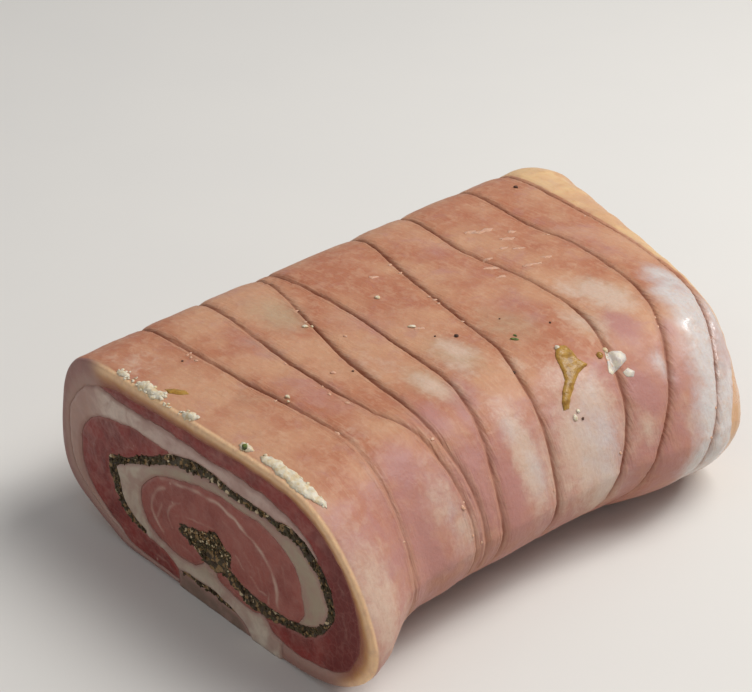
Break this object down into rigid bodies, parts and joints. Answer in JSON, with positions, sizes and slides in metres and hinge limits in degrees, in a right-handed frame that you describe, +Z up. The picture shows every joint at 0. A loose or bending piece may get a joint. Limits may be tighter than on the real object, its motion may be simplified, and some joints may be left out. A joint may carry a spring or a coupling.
{
  "type": "rullepolse half",
  "caption": "Half of a pressed and tied pork belly roll, string-marked, with a spiral herb filling showing at the cut.",
  "frame": {"origin": "middle of the footprint, on the board the roll rests on", "axes": "+Y along the roll from the cut face toward the tied end, +X toward the drawn-in flank, +Z up"},
  "size_m": [0.1214, 0.1832, 0.0545],
  "materials": {
    "rind": "moist cooked pork skin over back fat, semi-gloss",
    "fat": "firm white pork fat, moist, semi-gloss",
    "lean": "cured lean pork, moist, semi-gloss",
    "herbs": "chopped herbs and crushed spice set in jelly, matt to moist",
    "flap": "thin grey-pink belly edge, moist"
  },
  "bodies": {
    "root": {"skin_and_back_fat": "rind", "fat_band": "fat", "lean_over": "lean", "lean_side": "lean", "herb_filling": "herbs", "fat_spiral": "fat", "lean_core": "lean", "lean_tongue": "lean", "seam_herbs": "herbs", "seam_flap": "flap"}
  },
  "joints": []
}
